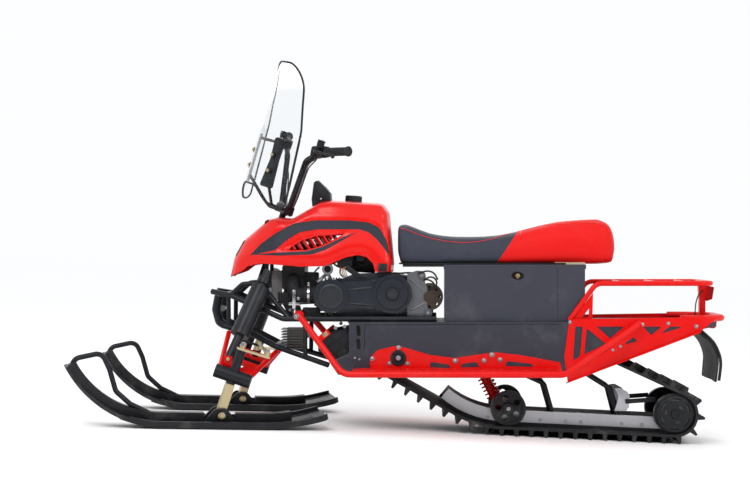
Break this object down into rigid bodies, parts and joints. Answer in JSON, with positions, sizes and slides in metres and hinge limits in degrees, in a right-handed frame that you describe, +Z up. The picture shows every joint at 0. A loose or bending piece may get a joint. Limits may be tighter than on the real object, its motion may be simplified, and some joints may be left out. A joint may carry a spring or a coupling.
{
  "type": "light utility snowmobile",
  "caption": "Light single-track snowmobile with steered skis, covered strut front suspension, storage box under a hinged seat, rear rack and a tall clear screen.",
  "frame": {"origin": "floor level, at the middle of the overall length and width, below the track and skis", "axes": "+X forward, +Y to the rider's left, +Z up"},
  "size_m": [2.517, 1.1726, 1.4407],
  "materials": {
    "black_paint": "satin",
    "black_plastic": "matte",
    "clear_sheet": "clear",
    "disc_steel": "satin",
    "engine_alloy": "satin",
    "exhaust_steel": "matte",
    "fin_alloy": "satin",
    "lens": "clear",
    "rail_alloy": "satin",
    "red_lens": "clear",
    "red_paint": "gloss",
    "red_plastic": "gloss",
    "rubber": "matte",
    "seat_vinyl": "matte",
    "ski_plastic": "satin",
    "slate_plastic": "satin",
    "slate_sheet": "satin",
    "zinc": "satin"
  },
  "bodies": {
    "chassis": {"airbox": "black_plastic", "brake_disc": "disc_steel", "chain_case": "black_paint", "cooler": "fin_alloy", "dash": "black_plastic", "drive_wheels": "black_plastic", "engine_case": "engine_alloy", "exhaust": "exhaust_steel", "fairing": "red_plastic", "foot_tube_left": "red_paint", "foot_tube_right": "red_paint", "footboard_left": "red_paint", "footboard_right": "red_paint", "frame": "black_paint", "front_arm": "black_paint", "front_bumper": "black_paint", "front_rollers": "black_plastic", "headlamps": "lens", "lamp_bracket": "red_paint", "mud_flap": "rubber", "rack": "red_paint", "rear_arm": "black_paint", "rear_bumper": "red_paint", "rear_wheels": "black_plastic", "seat_box": "slate_plastic", "skid_shock": "red_paint", "slide_rails": "rail_alloy", "sliders": "black_plastic", "spindle_housing_left": "black_paint", "spindle_housing_right": "black_paint", "strut_left": "black_paint", "strut_right": "black_paint", "suspension_arm_left": "red_paint", "suspension_arm_right": "red_paint", "tail_lamp": "red_lens", "tail_plate_left": "red_paint", "tail_plate_right": "red_paint", "tank_cap": "black_plastic", "track": "rubber", "tunnel": "slate_sheet", "upper_idlers": "black_plastic", "variator_cover": "engine_alloy"},
    "steering": {"handlebar": "black_paint", "grips": "rubber", "controls_left": "black_plastic", "controls_right": "black_plastic", "screen": "clear_sheet", "screen_bracket": "black_paint"},
    "seat": {"seat_pad": "seat_vinyl", "seat_base": "black_plastic"},
    "leg_left": {"leg_left": "zinc"},
    "tie_rod_left": {"tie_rod_left": "zinc"},
    "ski_left": {"ski_left": "ski_plastic", "ski_loop_left": "black_paint"},
    "leg_right": {"leg_right": "zinc"},
    "tie_rod_right": {"tie_rod_right": "zinc"},
    "ski_right": {"ski_right": "ski_plastic", "ski_loop_right": "black_paint"}
  },
  "joints": [
    {"name": "steering", "type": "hinge", "parent": "chassis", "child": "steering", "pos_m": [0.5111, 0, 0.82608], "axis": [-0.2823, 0, 0.9593], "range_deg": [-67, 17]},
    {"name": "kingpin_left", "type": "hinge", "parent": "chassis", "child": "leg_left", "pos_m": [0.64277, 0.37, 0.19846], "axis": [-0.2823, 0, 0.9593], "range_deg": [-50.92, 12.92]},
    {"name": "tie_rod_left_pin", "type": "hinge", "parent": "leg_left", "child": "tie_rod_left", "pos_m": [0.5227, 0.33744, 0.27154], "axis": [-0.2823, 0, 0.9593], "range_deg": [-12.92, 50.92]},
    {"name": "ski_pitch_left", "type": "hinge", "parent": "leg_left", "child": "ski_left", "pos_m": [0.68633, 0.37, 0.05044], "axis": [-0.3123, 0.9455, -0.0919], "range_deg": [-18, 12]},
    {"name": "kingpin_right", "type": "hinge", "parent": "chassis", "child": "leg_right", "pos_m": [0.64277, -0.37, 0.19846], "axis": [-0.2823, 0, 0.9593], "range_deg": [-50.92, 12.92]},
    {"name": "tie_rod_right_pin", "type": "hinge", "parent": "leg_right", "child": "tie_rod_right", "pos_m": [0.5227, -0.40256, 0.27154], "axis": [-0.2823, 0, 0.9593], "range_deg": [-12.92, 50.92]},
    {"name": "ski_pitch_right", "type": "hinge", "parent": "leg_right", "child": "ski_right", "pos_m": [0.68633, -0.37, 0.05044], "axis": [-0.3123, 0.9455, -0.0919], "range_deg": [-18, 12]},
    {"name": "seat_hinge", "type": "hinge", "parent": "chassis", "child": "seat", "pos_m": [-0.38369, -0.197, 0.65249], "axis": [0.999, 0, -0.0454], "range_deg": [0, 75]}
  ],
  "couplings": [
    {"joint": "kingpin_left", "follows": "steering", "ratio": 0.76},
    {"joint": "tie_rod_left_pin", "follows": "steering", "ratio": -0.76},
    {"joint": "kingpin_right", "follows": "steering", "ratio": 0.76},
    {"joint": "tie_rod_right_pin", "follows": "steering", "ratio": -0.76}
  ]
}
